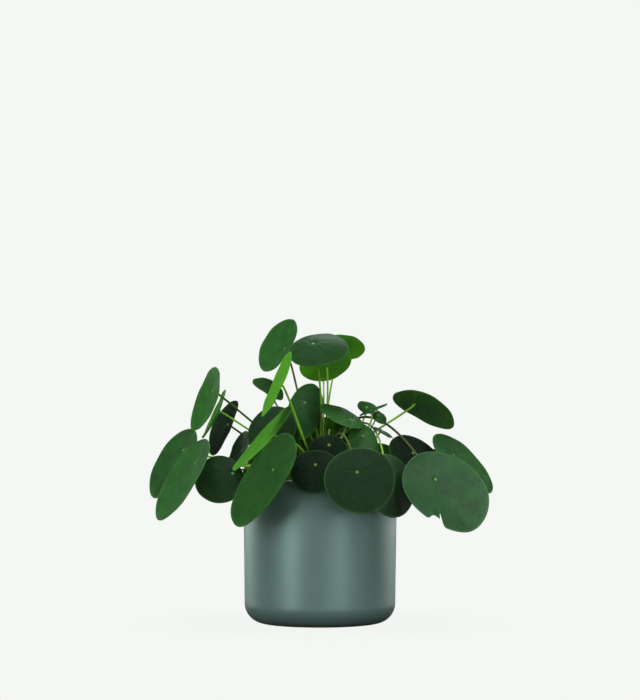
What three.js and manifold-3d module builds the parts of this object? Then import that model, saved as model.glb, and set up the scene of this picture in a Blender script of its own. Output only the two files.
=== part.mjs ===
// A potted pilea: a glazed pot, its soil, a short woody stem, and one solid per leaf.
// Units are millimetres. +Z is up, -Y is the front, and the origin is the middle of the pot's foot.
import * as THREE from 'three';
import { mergeVertices } from 'three/addons/utils/BufferGeometryUtils.js';
import Module from 'manifold-3d';

// ---- driving dimensions ----
const POT_RADIUS = 70;          // outside, at the rim
const POT_FOOT_RADIUS = 68.3;   // outside, where the wall turns into the rounded bottom corner
const POT_HEIGHT = 128;
const POT_CORNER = 18;          // radius of the rounded bottom corner
const POT_WALL = 5;
const POT_FLOOR = 8;
const RIM_ROUND = 1.6;          // rounding of the rim's two edges
const POT_SEGMENTS = 48;
const CORNER_STEPS = 7;
const RIM_STEPS = 3;
const INSIDE_STEPS = 4;         // of the corner inside the pot, and of the soil that fills it

const MOUND_STEPS = 4;
const SOIL_EDGE = 114;          // height of the soil at the pot's wall
const SOIL_CROWN = 120;         // and at the stem
const GAP = 0.3;                // left between solids that touch

const STEM_RADIUS = 6.5;
const STEM_TOP = 155;
const STEM_FOOT = 90;           // the stem stands this high above the pot's foot, deep in the soil
const STEM_SEGMENTS = 20;
const TIP_STEPS = 4;
const STALK_SUNK = 1.5;         // a stalk's path starts this far inside the stem, and is cut off flush
const SCAR_PITCH = 6;           // the scars of fallen leaves, up the stem
const SCAR_HEIGHT = 1.2;
const SCAR_DEPTH = 0.5;

const BLADE_THICKNESS = 0.9;
const BLADE_EGG = 0.06;         // how much broader a blade is towards its base than towards its tip
const BLADE_SMALL = 46;         // a blade shorter than this is made with the smaller fan
const LARGE_FAN = [20, 3];      // segments round the rim, and rings from heart to rim
const SMALL_FAN = [16, 2];
const TORN_FAN = [60, 3];
const STALK_SIDES = 5;
const STALK_STEPS = 9;
const STALK_REACH = 8;          // length over which a stalk turns square to its blade
const STALK_SLIMMEST = 0.7;
const STALK_PER_BLADE = 1 / 180; // a stalk's radius grows by this much per millimetre of blade

// ---- the leaves ----
// One row per leaf:
//   name, heart: where the stalk meets the blade
//   faces: the way the upper face looks, and tip: the way the blade's tip points
//   blade: length, width, and the heart's distance from the base as a share of the length
//   form: how far the blade droops along its length, rolls across it, and waves at its edge
//   root: where the stalk leaves the stem, as degrees round from the front and height
//   bend: the point that the stalk leans towards on its way
//   and any tears in the rim: degrees round from the tip, half width in degrees, depth as a share
const LEAVES = [
  // top of the crown
  ['leaf_01', [-33.5, 36, 251], [-7.8, -4.4, 4.4], [-4, 8, 2.5], [53, 56, 0.32], [-4, -3, 0],
    [236, 146], [-20, 44, 199]],
  ['leaf_02', [-6.2, -5, 253], [-1.8, -6.2, 9], [8, -5, 0], [55, 56, 0.42], [7, 7, 0],
    [350, 147], [6, 15, 205]],
  ['leaf_03', [-36, -48, 215], [-9, -2, 3.8], [-4, -1, -9], [63, 58, 0.46], [-2, -1, 0],
    [312, 141], [-13, -46, 154]],
  ['leaf_04', [6, 36, 233.4], [-2.2, 6.4, 7.3], [-0.8, -7.6, 6.4], [45, 50, 0.42], [-1, -3, 0],
    [156, 149.5], [8, 14, 188]],
  ['leaf_05', [20, 57, 256], [1.2, 5, 8.6], [8.9, 3.2, -3.1], [39, 43, 0.40], [1, 2, 0],
    [150, 141], [6.5, 70, 222]],
  // left side
  ['leaf_06', [-42, -24, 170.3], [-7.2, -2.6, 6], [-6.2, -1, -7.8], [78, 46, 0.38], [-5, -4, 0],
    [308, 132], [-28, -12, 140]],
  ['leaf_07', [-41, -72, 138], [-7.2, -5, 4], [-5.6, 0, -8.3], [92, 67, 0.37], [-3, -3, 1],
    [322, 125], [-20, -34, 148]],
  ['leaf_08', [-112.5, -18, 144], [-8, -4.2, 4.4], [-4.4, -0.9, -8.9], [84, 70, 0.28], [-3, -4, 0],
    [280, 126], [-62, 22, 148]],
  ['leaf_09', [-129, 44, 156], [-7.5, -4.5, 4.2], [-3.8, -1, -9], [74, 70, 0.30], [-2, -4, 0],
    [240, 126], [-74, 60, 146]],
  ['leaf_10', [-98, -8, 209.5], [-9, -3.7, 2.2], [-3.2, 2.6, -9.1], [61, 56, 0.35], [-4, -2, 0],
    [280, 138], [-50, 64, 168]],
  ['leaf_11', [-94, 24, 192], [-9, -1.8, 3.8], [-3.4, 0, -9.2], [50, 34, 0.42], [-3, -2, 0],
    [266, 133], [-55, 46, 168]],
  ['leaf_12', [-87.3, 56, 180.5], [-8, -4.6, 3.8], [-3.5, -1.6, -9.2], [57, 41, 0.42], [-2, -5, 0],
    [246, 130.5], [-50, 46, 152]],
  ['leaf_13', [-73, 26, 156], [-8, -4, 4], [-3.2, 0, -9.4], [36, 36, 0.50], [-3, -2, 0],
    [262, 121], [-45, 14, 136]],
  ['leaf_14', [-78.4, -20, 134.8], [1.2, -9.3, 3.6], [-8.8, -2.6, -3.8], [44, 45, 0.20], [2, 2, 0],
    [288, 121.5], [-46, -6, 158]],
  ['leaf_15', [-41, 8, 179], [-1, -9, 3.4], [-6, 0, -8], [50, 42, 0.38], [3, 3, 0],
    [256, 143], [-24, 14, 166]],
  ['leaf_16', [-44.2, 30, 210.5], [5.1, -4.6, 7.2], [-8.3, -0.6, 5.5], [33, 30, 0.36], [1, -2, 0],
    [224, 134], [-27, 30, 182]],
  // middle
  ['leaf_17', [-14, 20, 200], [-4, -8, 4], [0, -1, -9], [57, 36, 0.36], [3, 3, 1],
    [186, 140], [2, 22, 172]],
  ['leaf_18', [28, -6, 184], [4.5, -4.5, 8], [-9, 0, 5], [43, 35, 0.30], [2, 2, 0],
    [44, 138], [16, -6, 158]],
  ['leaf_19', [39, -6, 169], [2, -8, 5], [2, -5, -8], [40, 27, 0.34], [3, 3, 0], [50, 131], [25, 2, 152]],
  ['leaf_20', [32, -88, 136], [1.5, -9.3, 3.3], [3.5, -1, -9], [59, 63, 0.37], [3, 2, 1],
    [24, 133], [20.5, -30, 215]],
  ['leaf_30', [8, -38, 160], [1, -9, 4], [0, -2, -9], [36, 37, 0.28], [3, 3, 0],
    [338, 141], [-2, -20, 155]],
  ['leaf_31', [-4, -70, 142.5], [-1, -8.5, 5], [-1, -3, -8], [42, 44, 0.36], [3, 3, 0],
    [352, 124], [-3, -34, 134]],
  // right side
  ['leaf_21', [60, -50, 134], [5.5, -7.5, 3.5], [1, 0, -9], [58, 58, 0.34], [4, 3, 0],
    [98, 149], [61, 73, 230]],
  ['leaf_22', [85.1, 4.5, 153.3], [2.9, -8.3, 4.7], [9, 0.6, -4.4], [51, 38, 0.45], [3, 3, 0],
    [84, 130], [54, 9, 154]],
  ['leaf_23', [102, -48, 129.5], [2.6, -8.1, 5.3], [4.4, -3.8, -8.1], [86, 75, 0.31], [-4, -6, 2],
    [132, 148], [47, 97, 247], [-50, 9.5, 0.165], [-42, 1.7, 0.2]],
  ['leaf_24', [122.5, 7, 151.6], [6.2, -4.4, 6.6], [7.5, 0.7, -6.6], [74, 62, 0.34], [1, -1, 0],
    [94, 123], [78, 54, 144]],
  ['leaf_25', [88.2, 25, 199.4], [3.6, 3.8, 8.5], [8.8, 1.6, -4.4], [63, 55, 0.34], [3, -1, 0],
    [116, 139], [46, 54, 174]],
  ['leaf_26', [43.4, 28.5, 196], [-0.9, -8.1, 5.8], [8.4, -3.7, -3.9], [21, 13, 0.45], [0, 1, 0],
    [106, 143], [38, 30, 168]],
  ['leaf_27', [46.6, 8, 192.5], [-4, -1.5, 9], [9, 0, 4], [28, 16, 0.42], [1, 1, 0],
    [80, 146], [47, 12, 166]],
  ['leaf_28', [53.4, 14, 188.6], [3.4, -6.7, 6.6], [8.2, -1.2, -5.6], [16, 15, 0.36], [2, 2, 0],
    [98, 136], [44, 28, 161]],
  ['leaf_29', [56, 10, 174], [4, -2, 8], [8, 0, -5], [20, 16, 0.36], [1, 1, 0], [108, 130], [42, 14, 152]],
  // back
  ['leaf_32', [5, 84, 164], [0, 9, 4], [0, 2, -9], [74, 60, 0.36], [5, 4, 1], [178, 128], [16, 44, 209]],
  ['leaf_33', [-52, 66, 138], [-5, 8, 4], [0, 3, -9], [62, 56, 0.36], [4, 4, 1],
    [211, 125], [-34, 40, 172]],
  ['leaf_34', [62, 66, 142], [6, 7, 4], [1, 3, -9], [66, 60, 0.36], [4, 4, 1], [144, 125], [48, 24, 186]],
  ['leaf_35', [112, 42, 136], [7, 6, 4], [7, 4, -6], [66, 60, 0.36], [3, 3, 0], [128, 122], [58, 58, 138]],
  ['leaf_36', [-15, 50, 182], [-1, 8, 6], [0, 6, -8], [48, 34, 0.36], [4, 4, 0], [194, 134], [-4, 30, 168]],
  ['leaf_37', [25, 47, 178], [4, 7, 6], [3, 6, -7], [34, 30, 0.36], [3, 3, 0], [160, 134], [16, 28, 162]],
  ['leaf_38', [-45, 44, 186], [-4, 7, 6], [-4, 6, -7], [34, 32, 0.36], [3, 3, 0],
    [216, 130], [-24, 30, 166]],
  ['leaf_39', [2, 64, 245], [0, 5, 8], [0, 7, -5], [30, 28, 0.40], [1, 1, 0], [168, 137], [6, 78, 212]],
];

// ---- colours ----
const GLAZE = { color: 0x69837d, roughness: 0.42, metalness: 0 };
const EARTH = { color: 0x2c2118, roughness: 0.95, metalness: 0 };
const BARK = { color: 0x6a5238, roughness: 0.85, metalness: 0 };
const GREEN = { color: 0x2f6232, roughness: 0.38, metalness: 0 };

const kit = await Module();
kit.setup();
const { Manifold, Mesh: Shell } = kit;

const vec = (list) => new THREE.Vector3(...list);
const DEGREE = Math.PI / 180;
const WELD = 1e-4;              // points closer than this are one

// A three.js geometry as a solid, and a solid as a three.js geometry with flat faces.
function solid(geometry) {
  const bare = new THREE.BufferGeometry();
  bare.setAttribute('position', geometry.getAttribute('position'));
  bare.setIndex(geometry.index);
  const merged = mergeVertices(bare, WELD);
  return new Manifold(new Shell({
    numProp: 3,
    vertProperties: merged.attributes.position.array,
    triVerts: new Uint32Array(merged.index.array),
  }));
}

function geometryOf(body) {
  const { vertProperties, triVerts, numProp } = body.getMesh();
  const points = new Float32Array(vertProperties.length / numProp * 3);
  for (let i = 0; i < points.length / 3; i++) {
    for (let k = 0; k < 3; k++) points[i * 3 + k] = vertProperties[i * numProp + k];
  }
  const geometry = new THREE.BufferGeometry();
  geometry.setAttribute('position', new THREE.BufferAttribute(points, 3));
  geometry.setIndex(new THREE.BufferAttribute(triVerts, 1));
  return geometry;
}

// A turned solid about +Z. The profile is [radius, height] from the axis at the bottom, outwards and up.
function turned(profile, segments) {
  const geometry = new THREE.LatheGeometry(profile.map(([r, z]) => new THREE.Vector2(r, z)), segments);
  return geometry.rotateX(Math.PI / 2);
}

// Points of an arc about [r, z], from one angle to another, both in degrees.
function arc([r, z], radius, from, to, steps) {
  return Array.from({ length: steps + 1 }, (_, i) => {
    const angle = (from + (to - from) * i / steps) * DEGREE;
    return [r + radius * Math.cos(angle), z + radius * Math.sin(angle)];
  });
}

// The way a leaf lies: normal out of the upper face, tip along the blade, side across it.
function leafFrame(faces, tip) {
  const normal = vec(faces).normalize();
  const along = vec(tip);
  along.addScaledVector(normal, -along.dot(normal)).normalize();
  return { normal, along, side: new THREE.Vector3().crossVectors(normal, along) };
}

// The blade's rim at an angle round from its tip: an ellipse, a little egg-shaped, torn where tears say.
function rimPoint(angle, [length, width, share], tears) {
  const half = length / 2;
  let x = length * (0.5 - share) + half * Math.cos(angle);
  let y = width / 2 * Math.sin(angle) * (1 - BLADE_EGG * Math.cos(angle));
  for (const [at, spread, depth] of tears) {
    const away = ((angle / DEGREE - at + 540) % 360) - 180;
    const left = 1 - depth * Math.exp(-((away / spread) ** 4));
    x *= left;
    y *= left;
  }
  return [x, y];
}

// How far the blade's middle surface stands above its plane, at share u of the way from heart to rim.
function rise(x, y, u, angle, [length, width], [droop, roll, wave]) {
  const bent = droop * (2 * x / length) ** 2 + roll * (2 * y / width) ** 2;
  return wave * u * u * Math.sin(3 * angle + length) - bent;
}

// One blade: a fan about the heart and rings out to the rim, the same triangles on both faces.
function bladeGeometry(heart, { normal, along, side }, blade, form, tears) {
  const whole = blade[0] < BLADE_SMALL ? SMALL_FAN : LARGE_FAN;
  const [segments, rings] = tears.length > 0 ? TORN_FAN : whole;
  const points = [];
  const place = (x, y, lift) => points.push(
    ...vec(heart).addScaledVector(along, x).addScaledVector(side, y).addScaledVector(normal, lift));
  for (const face of [0.5, -0.5]) {
    const lift = face * BLADE_THICKNESS;
    place(0, 0, lift);
    for (let k = 1; k <= rings; k++) {
      const u = k / rings;
      for (let i = 0; i < segments; i++) {
        const angle = 2 * Math.PI * i / segments;
        const [rimX, rimY] = rimPoint(angle, blade, tears);
        const [x, y] = [u * rimX, u * rimY];
        place(x, y, lift + rise(x, y, u, angle, blade, form));
      }
    }
  }
  const perFace = 1 + rings * segments;
  const at = (k, i) => (k === 0 ? 0 : 1 + (k - 1) * segments + (i % segments));
  const index = [];
  for (let i = 0; i < segments; i++) {
    for (let k = 0; k < rings; k++) {
      const [a, b, c, d] = [at(k, i), at(k + 1, i), at(k + 1, i + 1), at(k, i + 1)];
      index.push(a, b, c, a + perFace, c + perFace, b + perFace);
      if (k > 0) index.push(a, c, d, a + perFace, d + perFace, c + perFace);
    }
    const [p, q] = [at(rings, i), at(rings, i + 1)];
    index.push(p, p + perFace, q + perFace, p, q + perFace, q);
  }
  const geometry = new THREE.BufferGeometry();
  geometry.setAttribute('position', new THREE.BufferAttribute(new Float32Array(points), 3));
  geometry.setIndex(index);
  return geometry;
}

// The room that the stem keeps for itself among the stalks.
const sleeve = solid(turned([
  [0, STEM_FOOT],
  [STEM_RADIUS + GAP, STEM_FOOT],
  [STEM_RADIUS + GAP, STEM_TOP + GAP],
  [0, STEM_TOP + GAP],
], STEM_SEGMENTS));

// One leaf: its blade and its stalk, which bends out of the stem and meets the blade square on.
function leaf([, heart, faces, tip, blade, form, [azimuth, height], bend, ...tears]) {
  const lie = leafFrame(faces, tip);
  const reach = STEM_RADIUS - STALK_SUNK;
  const root = [reach * Math.sin(azimuth * DEGREE), -reach * Math.cos(azimuth * DEGREE), height];
  const end = vec(heart);
  const path = new THREE.CubicBezierCurve3(
    vec(root), vec(bend), end.clone().addScaledVector(lie.normal, -STALK_REACH), end);
  const radius = STALK_SLIMMEST + blade[0] * STALK_PER_BLADE;
  const section = new THREE.Shape(arc([0, 0], radius, 0, 360 - 360 / STALK_SIDES, STALK_SIDES - 1)
    .map(([x, y]) => new THREE.Vector2(x, y)));
  const sweep = { steps: STALK_STEPS, extrudePath: path, bevelEnabled: false };
  const stalk = new THREE.ExtrudeGeometry(section, sweep);
  return solid(bladeGeometry(heart, lie, blade, form, tears)).add(solid(stalk)).subtract(sleeve);
}

// The pot: flat foot, rounded corner, a wall that leans out a little, a rounded rim, and a hollow inside.
function potSolid() {
  const innerFoot = POT_FOOT_RADIUS - POT_WALL;
  const innerCorner = POT_CORNER - POT_WALL;
  const innerTop = POT_RADIUS - POT_WALL;
  return solid(turned([
    [0, 0],
    ...arc([POT_FOOT_RADIUS - POT_CORNER, POT_CORNER], POT_CORNER, -90, 0, CORNER_STEPS),
    ...arc([POT_RADIUS - RIM_ROUND, POT_HEIGHT - RIM_ROUND], RIM_ROUND, 0, 90, RIM_STEPS),
    ...arc([innerTop + RIM_ROUND, POT_HEIGHT - RIM_ROUND], RIM_ROUND, 90, 180, RIM_STEPS),
    ...arc([innerFoot - innerCorner, POT_FLOOR + innerCorner], innerCorner, 0, -90, INSIDE_STEPS),
    [0, POT_FLOOR],
  ], POT_SEGMENTS));
}

// The soil fills the pot up to a low mound, with a plain hole in which the stem stands.
function soilSolid() {
  const innerFoot = POT_FOOT_RADIUS - POT_WALL - GAP;
  const innerCorner = POT_CORNER - POT_WALL;
  const share = (SOIL_EDGE - POT_FLOOR - innerCorner) / (POT_HEIGHT - POT_FLOOR - innerCorner);
  const edge = innerFoot + (POT_RADIUS - POT_FOOT_RADIUS) * share;
  const hole = STEM_RADIUS + GAP;
  const crown = SOIL_CROWN - SOIL_EDGE;
  const mound = Array.from({ length: MOUND_STEPS }, (_, i) => {
    const radius = edge + (hole - edge) * (i + 1) / MOUND_STEPS;
    return [radius, SOIL_EDGE + crown * (1 - (radius / edge) ** 2)];
  });
  return solid(turned([
    [0, POT_FLOOR + GAP],
    ...arc([innerFoot - innerCorner, POT_FLOOR + GAP + innerCorner], innerCorner, -90, 0, INSIDE_STEPS),
    [edge, SOIL_EDGE],
    ...mound,
    [hole, STEM_FOOT - GAP],
    [0, STEM_FOOT - GAP],
  ], POT_SEGMENTS));
}

// The stem: a short woody post, ringed by the scars of fallen leaves, with a rounded growing tip.
function stemSolid() {
  const scars = [];
  for (let z = SOIL_CROWN + SCAR_PITCH; z < STEM_TOP - STEM_RADIUS; z += SCAR_PITCH) {
    const groove = [STEM_RADIUS - SCAR_DEPTH, z];
    scars.push([STEM_RADIUS, z - SCAR_HEIGHT], groove, [STEM_RADIUS, z + SCAR_HEIGHT]);
  }
  return solid(turned([
    [0, STEM_FOOT],
    [STEM_RADIUS, STEM_FOOT],
    ...scars,
    ...arc([0, STEM_TOP - STEM_RADIUS], STEM_RADIUS, 0, 90, TIP_STEPS).slice(0, -1),
    [0, STEM_TOP],
  ], STEM_SEGMENTS));
}

const plant = new THREE.Group();
plant.name = 'potted_pilea';

function part(name, body, look) {
  const finish = new THREE.MeshStandardMaterial({ ...look, flatShading: true });
  const mesh = new THREE.Mesh(geometryOf(body), finish);
  mesh.name = name;
  plant.add(mesh);
}

part('pot', potSolid(), GLAZE);
part('soil', soilSolid(), EARTH);
part('stem', stemSolid(), BARK);
for (const row of LEAVES) part(row[0], leaf(row), GREEN);

export default plant;
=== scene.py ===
"""Potted pilea: round leaves on long stalks, a woody stem, potting soil and a glazed pot.

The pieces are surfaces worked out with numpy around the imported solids, +Z up and -Y to the front. Sizes are
in millimetres and become metres where a piece is made. The studio is in metres.
"""

import math

import bpy
import numpy as np
from bpy.props import FloatProperty, FloatVectorProperty, IntProperty, PointerProperty
from bpy.types import Operator, Panel, PropertyGroup
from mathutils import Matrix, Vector


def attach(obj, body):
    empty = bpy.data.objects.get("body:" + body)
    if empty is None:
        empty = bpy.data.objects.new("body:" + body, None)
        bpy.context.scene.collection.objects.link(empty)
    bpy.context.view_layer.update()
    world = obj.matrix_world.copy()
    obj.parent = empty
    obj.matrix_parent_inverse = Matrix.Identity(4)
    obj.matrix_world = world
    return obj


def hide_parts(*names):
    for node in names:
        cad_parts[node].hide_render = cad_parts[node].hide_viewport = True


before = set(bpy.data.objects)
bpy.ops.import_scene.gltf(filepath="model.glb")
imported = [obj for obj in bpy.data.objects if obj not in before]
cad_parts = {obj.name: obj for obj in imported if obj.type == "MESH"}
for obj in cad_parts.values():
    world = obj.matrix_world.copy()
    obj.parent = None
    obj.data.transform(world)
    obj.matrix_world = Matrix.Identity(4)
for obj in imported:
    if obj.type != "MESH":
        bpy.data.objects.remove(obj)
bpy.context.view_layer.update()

bl_info = {
    "name": "Potted pilea",
    "version": (1, 0, 0),
    "blender": (4, 5, 0),
    "location": "View3D > Sidebar > Pilea",
    "description": "Builds a potted pilea: leaves, stem, soil and glazed pot",
    "category": "Object",
}

MM = 0.001
BODY = "root"

# ---- the leaves, in millimetres ----
# number, and heart: where the stalk meets the blade
# faces: the way the upper face looks, and tip: the way the blade's tip points
# blade: length, width, and the heart's distance from the base as a share of the length
# form: how far the blade droops along its length, rolls across it, and waves at its edge
# root: where the stalk leaves the stem, as degrees round from the front and height
# bend: the point that the stalk leans towards on its way
# finish: age from grown at 0 to fresh and lime green at 1, stalk from green at 0 to brown at 1, depth:
# painted shade that darkens a leaf where it lies in shadow, and painted light that lightens it below 0, and
# gloss
# then any tears in the rim: degrees round from the tip, half width in degrees, depth as a share
GROWN = (0.05, 0.2, 0, 0.2)
LEAVES = [
    # top of the crown
    (1, (-33.5, 36, 251), (-7.8, -4.4, 4.4), (-4, 8, 2.5), (53, 56, 0.32), (-4, -3, 0), (236, 146),
     (-20, 44, 199), (0.1, 0.8, 0, 0.1)),
    (2, (-6.2, -5, 253), (-1.8, -6.2, 9), (8, -5, 0), (55, 56, 0.42), (7, 7, 0), (350, 147), (6, 15, 205),
     (0.05, 0, 0.8, 0.015)),
    (3, (-36, -48, 215), (-9, -2, 3.8), (-4, -1, -9), (63, 58, 0.46), (-2, -1, 0), (312, 141),
     (-13, -46, 154), (0.85, 0, 0, 0)),
    # leaves 4 and 5 are seen from below: part of their lime from age is painted light shining through them
    (4, (6, 36, 233.4), (-2.2, 6.4, 7.3), (-0.8, -7.6, 6.4), (45, 50, 0.42), (-1, -3, 0), (156, 149.5),
     (8, 14, 188), (0.95, 0, -0.2, 0.3)),
    (5, (20, 57, 256), (1.2, 5, 8.6), (8.9, 3.2, -3.1), (39, 43, 0.4), (1, 2, 0), (150, 141),
     (6.5, 70, 222), (0.7, 0, 0, 0.3)),
    # left side
    (6, (-42, -24, 170.3), (-7.2, -2.6, 6), (-6.2, -1, -7.8), (78, 46, 0.38), (-5, -4, 0), (308, 132),
     (-28, -12, 140), (0.75, 0, 0, 0.06)),
    (7, (-41, -72, 138), (-7.2, -5, 4), (-5.6, 0, -8.3), (92, 67, 0.37), (-3, -3, 1), (322, 125),
     (-20, -34, 148), (0.1, 0, 0.4, 0.06)),
    (8, (-112.5, -18, 144), (-8, -4.2, 4.4), (-4.4, -0.9, -8.9), (84, 70, 0.28), (-3, -4, 0), (280, 126),
     (-62, 22, 148), (0.1, 0, -0.3, 0.17)),
    (9, (-129, 44, 156), (-7.5, -4.5, 4.2), (-3.8, -1, -9), (74, 70, 0.3), (-2, -4, 0), (240, 126),
     (-74, 60, 146), (0.05, 0, 0.1, 0.12)),
    (10, (-98, -8, 209.5), (-9, -3.7, 2.2), (-3.2, 2.6, -9.1), (61, 56, 0.35), (-4, -2, 0), (280, 138),
     (-50, 64, 168), (0.15, 0.8, -0.45, 0.015)),
    (11, (-94, 24, 192), (-9, -1.8, 3.8), (-3.4, 0, -9.2), (50, 34, 0.42), (-3, -2, 0), (266, 133),
     (-55, 46, 168), (0.55, 0, -0.6, 0.02)),
    (12, (-87.3, 56, 180.5), (-8, -4.6, 3.8), (-3.5, -1.6, -9.2), (57, 41, 0.42), (-2, -5, 0),
     (246, 130.5), (-50, 46, 152), (0, 0.8, 1.3, 0.01)),
    (13, (-73, 26, 156), (-8, -4, 4), (-3.2, 0, -9.4), (36, 36, 0.5), (-3, -2, 0), (262, 121),
     (-45, 14, 136), (0, 0.5, 0.7, 0.3)),
    (14, (-78.4, -20, 134.8), (1.2, -9.3, 3.6), (-8.8, -2.6, -3.8), (44, 45, 0.2), (2, 2, 0),
     (288, 121.5), (-46, -6, 158), (0, 0.5, 0.85, 0.1)),
    (15, (-41, 8, 179), (-1, -9, 3.4), (-6, 0, -8), (50, 42, 0.38), (3, 3, 0), (256, 143), (-24, 14, 166),
     (0, 0, 0.95, 0.03)),
    (16, (-44.2, 30, 210.5), (5.1, -4.6, 7.2), (-8.3, -0.6, 5.5), (33, 30, 0.36), (1, -2, 0), (224, 134),
     (-27, 30, 182), (0.1, 0.6, 1, 0)),
    # middle
    (17, (-14, 20, 200), (-4, -8, 4), (0, -1, -9), (57, 36, 0.36), (3, 3, 1), (186, 140), (2, 22, 172),
     (0.05, 0, 0.2, 0.12)),
    (18, (28, -6, 184), (4.5, -4.5, 8), (-9, 0, 5), (43, 35, 0.3), (2, 2, 0), (44, 138), (16, -6, 158),
     (0.15, 0, 0.1, 0.08)),
    (19, (39, -6, 169), (2, -8, 5), (2, -5, -8), (40, 27, 0.34), (3, 3, 0), (50, 131), (25, 2, 152),
     (0.15, 0, 0.1, 0.15)),
    (20, (32, -88, 136), (1.5, -9.3, 3.3), (3.5, -1, -9), (59, 63, 0.37), (3, 2, 1), (24, 133),
     (20.5, -30, 215), (0, 0.9, 1, 0.05)),
    (30, (8, -38, 160), (1, -9, 4), (0, -2, -9), (36, 37, 0.28), (3, 3, 0), (338, 141), (-2, -20, 155),
     (0, 0.6, 1.25, 0)),
    (31, (-4, -70, 142.5), (-1, -8.5, 5), (-1, -3, -8), (42, 44, 0.36), (3, 3, 0), (352, 124),
     (-3, -34, 134), (0, 0.6, 1.25, 0)),
    # right side
    (21, (60, -50, 134), (5.5, -7.5, 3.5), (1, 0, -9), (58, 58, 0.34), (4, 3, 0), (98, 149), (61, 73, 230),
     (0, 0.5, 0.8, 0.35)),
    (22, (85.1, 4.5, 153.3), (2.9, -8.3, 4.7), (9, 0.6, -4.4), (51, 38, 0.45), (3, 3, 0), (84, 130),
     (54, 9, 154), (0, 0.5, 1.3, 0)),
    (23, (102, -48, 129.5), (2.6, -8.1, 5.3), (4.4, -3.8, -8.1), (86, 75, 0.31), (-4, -6, 2), (132, 148),
     (47, 97, 247), (0, 0.95, 0.05, 0.26), (-50, 9.5, 0.165), (-42, 1.7, 0.2)),
    (24, (122.5, 7, 151.6), (6.2, -4.4, 6.6), (7.5, 0.7, -6.6), (74, 62, 0.34), (1, -1, 0), (94, 123),
     (78, 54, 144), (0.05, 0.2, -0.2, 0.35)),
    (25, (88.2, 25, 199.4), (3.6, 3.8, 8.5), (8.8, 1.6, -4.4), (63, 55, 0.34), (3, -1, 0), (116, 139),
     (46, 54, 174), (0, 0, 0.5, 0.3)),
    (26, (43.4, 28.5, 196), (-0.9, -8.1, 5.8), (8.4, -3.7, -3.9), (21, 13, 0.45), (0, 1, 0), (106, 143),
     (38, 30, 168), (0.1, 0, 0.2, 0.04)),
    (27, (46.6, 8, 192.5), (-4, -1.5, 9), (9, 0, 4), (28, 16, 0.42), (1, 1, 0), (80, 146), (47, 12, 166),
     (0, 0, 0.4, 0)),
    (28, (53.4, 14, 188.6), (3.4, -6.7, 6.6), (8.2, -1.2, -5.6), (16, 15, 0.36), (2, 2, 0), (98, 136),
     (44, 28, 161), (0.15, 0, 0, 0.2)),
    (29, (56, 10, 174), (4, -2, 8), (8, 0, -5), (20, 16, 0.36), (1, 1, 0), (108, 130), (42, 14, 152),
     GROWN),
    # back
    (32, (5, 84, 164), (0, 9, 4), (0, 2, -9), (74, 60, 0.36), (5, 4, 1), (178, 128), (16, 44, 209),
     (0, 0.5, 1, 0.02)),
    (33, (-52, 66, 138), (-5, 8, 4), (0, 3, -9), (62, 56, 0.36), (4, 4, 1), (211, 125), (-34, 40, 172),
     GROWN),
    (34, (62, 66, 142), (6, 7, 4), (1, 3, -9), (66, 60, 0.36), (4, 4, 1), (144, 125), (48, 24, 186), GROWN),
    (35, (112, 42, 136), (7, 6, 4), (7, 4, -6), (66, 60, 0.36), (3, 3, 0), (128, 122), (58, 58, 138),
     GROWN),
    (36, (-15, 50, 182), (-1, 8, 6), (0, 6, -8), (48, 34, 0.36), (4, 4, 0), (194, 134), (-4, 30, 168),
     (0, 0.5, 1, 0.02)),
    (37, (25, 47, 178), (4, 7, 6), (3, 6, -7), (34, 30, 0.36), (3, 3, 0), (160, 134), (16, 28, 162),
     (0, 0.5, 1, 0.02)),
    (38, (-45, 44, 186), (-4, 7, 6), (-4, 6, -7), (34, 32, 0.36), (3, 3, 0), (216, 130), (-24, 30, 166),
     GROWN),
    (39, (2, 64, 245), (0, 5, 8), (0, 7, -5), (30, 28, 0.4), (1, 1, 0), (168, 137), (6, 78, 212), GROWN),
]

# ---- the pot, soil and stem, in millimetres ----
POT_RADIUS = 70
POT_FOOT_RADIUS = 68.3
POT_HEIGHT = 128
POT_CORNER = 18
POT_WALL = 5
POT_FLOOR = 8
RIM_ROUND = 1.6
POT_WANDER = 0.22  # how far the wall wanders in
POT_WANDER_PITCH = 90
POT_SEED = 4
GLAZE_THINS = (0.126, 0.1285)  # the glaze thins between these heights, in metres
GLAZE_ENDS = (0.0021, 0.0014)  # and ends between these, above the bare foot
FOOT_ROWS, CORNER_ROWS, WALL_ROWS, RIM_ROWS = 14, 20, 26, 7
INNER_CORNER_ROWS, FLOOR_ROWS = 12, 12

SOIL_EDGE = 114
SOIL_CROWN = 120
SOIL_SIDE_TOP = SOIL_EDGE - 4
SOIL_ROWS, SOIL_CORNER_ROWS, SOIL_LINES = 46, 8, 200
SOIL_LUMPS = ((0.65, 13, 11), (0.45, 4.6, 12), (0.3, 2.1, 13))  # share, pitch and seed of each size
LUMP_LEVEL = 0.6  # what is rougher stands up from the mound, and the rest sinks
LUMP_RANGE = (-2.4, 0.3)  # how far down and up, in lumps
LUMPS_FROM_WALL = 3  # they come in over this distance from the wall
LUMPS_FROM_STEM = 2  # and over this one from the stem
LUMPS_AT_STEM = 0.2  # where this share is left
CRUMB_SEED = 21
CRUMB_SIZES = (0.5, 1.3)
CRUMB_STRETCH = (0.6, 1.2)
CRUMB_SINKS = 1.1  # a crumb's middle lies this far under the mound
CRUMB_MARGIN = 3  # from the wall and the stem
PALE_GRAINS = 0.07  # share of the crumbs

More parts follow.
